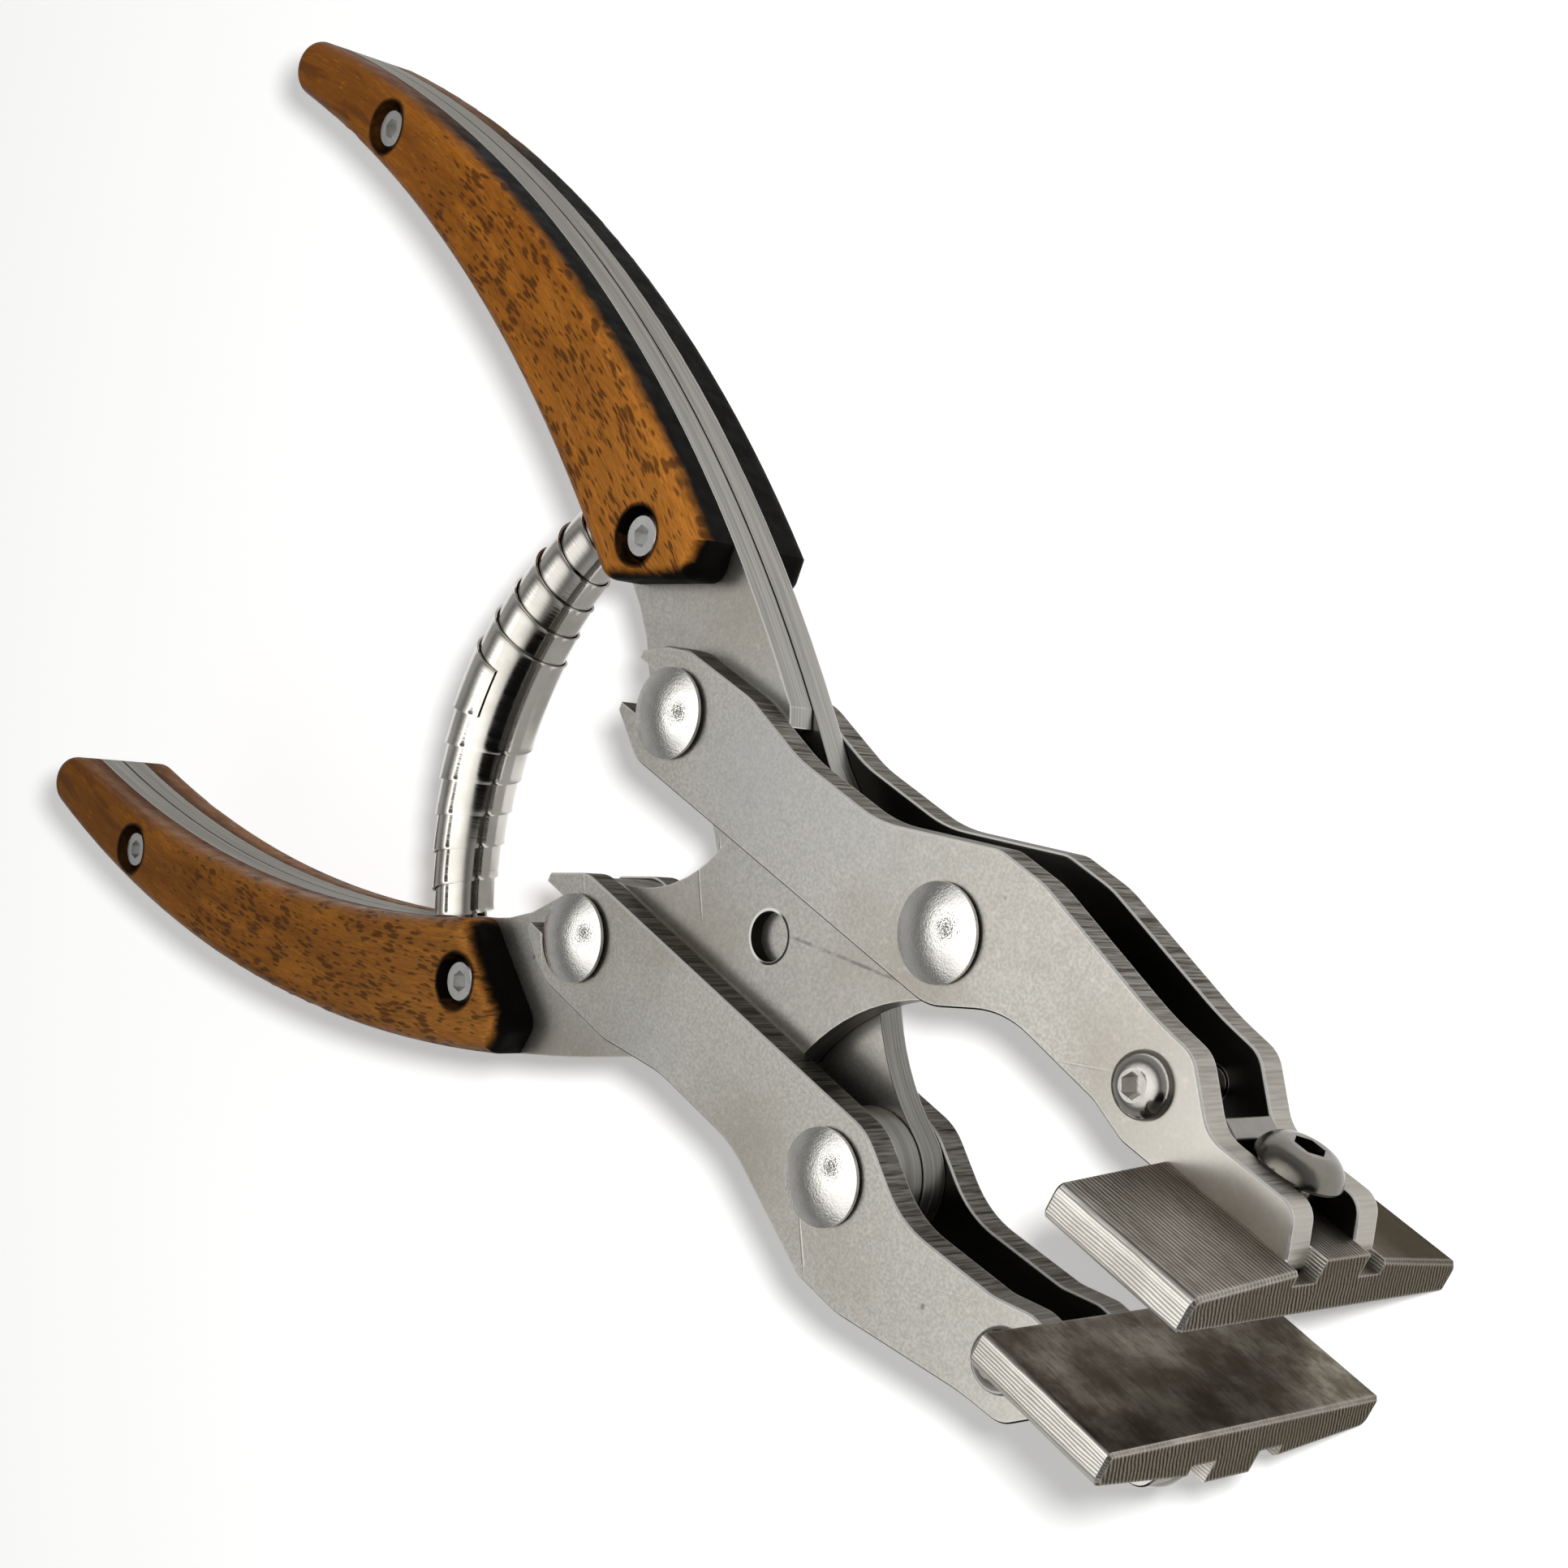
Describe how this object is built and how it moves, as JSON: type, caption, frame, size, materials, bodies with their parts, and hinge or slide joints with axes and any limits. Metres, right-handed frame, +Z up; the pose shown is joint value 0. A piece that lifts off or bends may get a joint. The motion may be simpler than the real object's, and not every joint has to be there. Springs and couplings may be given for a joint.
{
  "type": "parallel-action wide-jaw pliers",
  "caption": "Hand pliers whose wide flat jaws close parallel through a crossed-lever linkage, with bowed wood-scaled handles held open by a volute spring.",
  "frame": {"origin": "centre of the bounding box, at its bottom, where the side ends of the two pads rest", "axes": "+X from the handle tips to the jaw tips, +Y from the lower handle to the upper one, +Z up through the flat plates"},
  "size_m": [0.1828, 0.1028, 0.0375],
  "materials": {
    "jaw_steel": "blasted matte stainless",
    "handle_steel": "lengthwise brushed edges",
    "wood": "satin oiled hardwood, charred at its cut walls",
    "polished_rivet": "polished shallow dome",
    "polished_screw": "polished",
    "bright_screw": "bright machined",
    "dark_nut": "plain",
    "pad_steel": "dark wire-cut with fine striations",
    "spring_steel": "polished strip"
  },
  "bodies": {
    "lower_handle": {"lower_lever": "handle_steel", "lower_doubler": "handle_steel", "lower_front_scale": "wood", "lower_back_scale": "wood", "lower_front_scale_screws": "bright_screw", "lower_back_scale_screws": "bright_screw", "lower_scale_barrels": "handle_steel", "lower_rear_rivet": "polished_rivet", "lower_spring_peg": "handle_steel", "centre_pivot_pin": "jaw_steel", "volute_spring": "spring_steel"},
    "upper_handle": {"upper_lever": "handle_steel", "upper_doubler": "handle_steel", "upper_front_scale": "wood", "upper_back_scale": "wood", "upper_front_scale_screws": "bright_screw", "upper_back_scale_screws": "bright_screw", "upper_scale_barrels": "handle_steel", "upper_rear_rivet": "polished_rivet", "upper_spring_peg": "handle_steel"},
    "upper_jaw": {"upper_jaw_front_plate": "jaw_steel", "upper_jaw_back_plate": "jaw_steel", "upper_front_rivet": "polished_rivet", "upper_front_spacer": "handle_steel", "upper_cross_screw": "polished_screw", "upper_cross_inner_nut": "dark_nut", "upper_cross_outer_nut": "dark_nut", "upper_nose_bar": "handle_steel", "upper_pad": "pad_steel", "upper_pad_screw": "polished_screw"},
    "lower_jaw": {"lower_jaw_front_plate": "jaw_steel", "lower_jaw_back_plate": "jaw_steel", "lower_front_rivet": "polished_rivet", "lower_front_spacer": "handle_steel", "lower_cross_screw": "polished_screw", "lower_cross_inner_nut": "dark_nut", "lower_cross_outer_nut": "dark_nut", "lower_nose_bar": "handle_steel", "lower_pad": "pad_steel", "lower_pad_screw": "polished_screw"}
  },
  "joints": [
    {"name": "handle_squeeze", "type": "hinge", "parent": "lower_handle", "child": "upper_handle", "pos_m": [0.0277, 0, 0.01875], "axis": [0, 0, 1], "range_deg": [0, 27.93], "stiffness_Nm_per_rad": 1.5, "springref_deg": -11.46, "deforming": ["volute_spring"]},
    {"name": "upper_jaw_pivot", "type": "hinge", "parent": "lower_handle", "child": "upper_jaw", "pos_m": [0.04789, 0.01269, 0.01875], "axis": [0, 0, 1], "range_deg": [0, 13.97]},
    {"name": "lower_jaw_pivot", "type": "hinge", "parent": "upper_handle", "child": "lower_jaw", "pos_m": [0.04789, -0.01269, 0.01875], "axis": [0, 0, 1], "range_deg": [-13.97, 0]}
  ],
  "couplings": [
    {"joint": "upper_jaw_pivot", "follows": "handle_squeeze", "ratio": 0.5},
    {"joint": "lower_jaw_pivot", "follows": "handle_squeeze", "ratio": -0.5}
  ]
}
